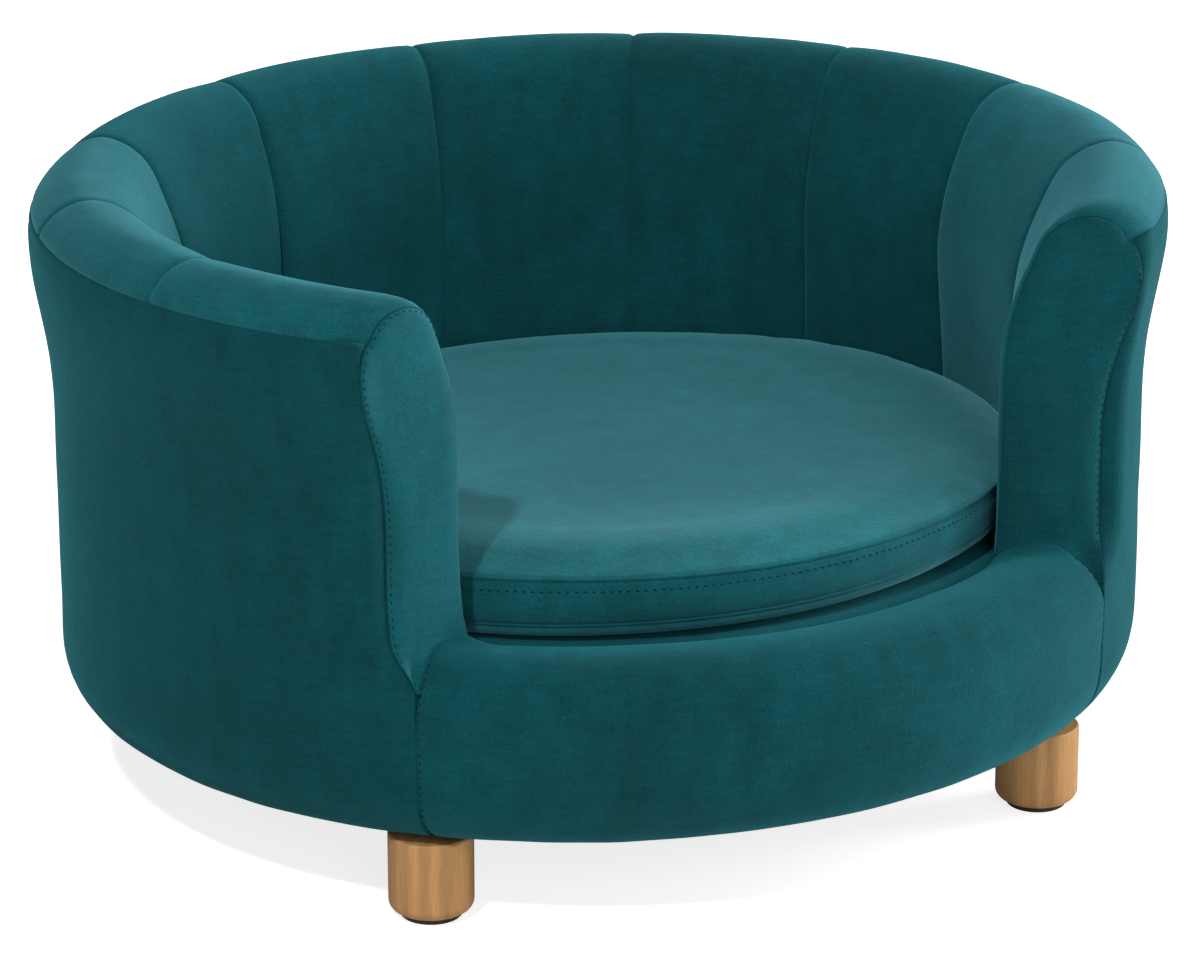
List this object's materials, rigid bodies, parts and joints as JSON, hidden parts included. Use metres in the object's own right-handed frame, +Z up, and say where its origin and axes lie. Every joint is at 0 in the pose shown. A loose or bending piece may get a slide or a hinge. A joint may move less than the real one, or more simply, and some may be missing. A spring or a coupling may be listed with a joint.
{
  "type": "dog sofa bed",
  "caption": "Oval upholstered pet sofa: a channel-quilted velvet wall open at the front round a loose crowned cushion, on round screw-in wooden legs.",
  "frame": {"origin": "on the floor, under the middle of the overall box", "axes": "+X to the viewer's right when facing the open front, +Y to the back of the wall, +Z up"},
  "size_m": [0.7006, 0.6294, 0.3839],
  "materials": {
    "velvet": "short-pile velvet",
    "foam": "open-cell foam",
    "lining": "non-woven lining",
    "pine": "clear satin lacquer",
    "plywood": "raw",
    "hardboard": "raw",
    "zinc_steel": "zinc plated",
    "zip_metal": "nickel plated",
    "zip_tape": "woven tape",
    "glide_plastic": "moulded"
  },
  "bodies": {
    "sofa": {"apron_cover": "velvet", "apron_rail": "plywood", "arm_board_left": "plywood", "arm_board_right": "plywood", "arm_face_left": "velvet", "arm_face_right": "velvet", "base_board": "plywood", "channel_1": "velvet", "channel_10": "velvet", "channel_2": "velvet", "channel_3": "velvet", "channel_4": "velvet", "channel_5": "velvet", "channel_6": "velvet", "channel_7": "velvet", "channel_8": "velvet", "channel_9": "velvet", "deck_pad": "velvet", "dust_cover": "lining", "leg_nut_1": "zinc_steel", "leg_nut_2": "zinc_steel", "leg_nut_3": "zinc_steel", "leg_nut_4": "zinc_steel", "outer_skin": "hardboard", "outer_wrap": "velvet", "rib_1": "plywood", "rib_2": "plywood", "rib_3": "plywood", "rib_4": "plywood", "rib_5": "plywood", "rib_6": "plywood", "rib_7": "plywood", "seat_board": "plywood", "seat_post_1": "pine", "seat_post_2": "pine", "seat_post_3": "pine", "seat_post_4": "pine", "top_rail": "plywood", "well_skin": "hardboard"},
    "cushion": {"cushion_base": "velvet", "cushion_boxing": "velvet", "cushion_core": "foam", "cushion_top": "velvet", "zip_tape_lower": "zip_tape", "zip_tape_upper": "zip_tape"},
    "zip_slider": {"zip_slider": "zip_metal"},
    "leg_1": {"leg_1": "pine", "stud_1": "zinc_steel", "glide_1": "glide_plastic"},
    "leg_2": {"leg_2": "pine", "stud_2": "zinc_steel", "glide_2": "glide_plastic"},
    "leg_3": {"leg_3": "pine", "stud_3": "zinc_steel", "glide_3": "glide_plastic"},
    "leg_4": {"leg_4": "pine", "stud_4": "zinc_steel", "glide_4": "glide_plastic"}
  },
  "joints": [
    {"name": "cushion_lift", "type": "slide", "parent": "sofa", "child": "cushion", "axis": [0, 0, 1], "range_m": [0, 0.25]},
    {"name": "zip_run", "type": "hinge", "parent": "cushion", "child": "zip_slider", "pos_m": [0, -0.05004, 0.1778], "axis": [0, 0, 1], "range_deg": [0, 36]},
    {"name": "leg_1_unscrew", "type": "hinge", "parent": "sofa", "child": "leg_1", "pos_m": [-0.2, -0.20312, 0.052], "axis": [0, 0, -1], "range_deg": [0, 2880]},
    {"name": "leg_2_unscrew", "type": "hinge", "parent": "sofa", "child": "leg_2", "pos_m": [0.2, -0.20312, 0.052], "axis": [0, 0, -1], "range_deg": [0, 2880]},
    {"name": "leg_3_unscrew", "type": "hinge", "parent": "sofa", "child": "leg_3", "pos_m": [0.2, 0.18886, 0.052], "axis": [0, 0, -1], "range_deg": [0, 2880]},
    {"name": "leg_4_unscrew", "type": "hinge", "parent": "sofa", "child": "leg_4", "pos_m": [-0.2, 0.18886, 0.052], "axis": [0, 0, -1], "range_deg": [0, 2880]}
  ]
}
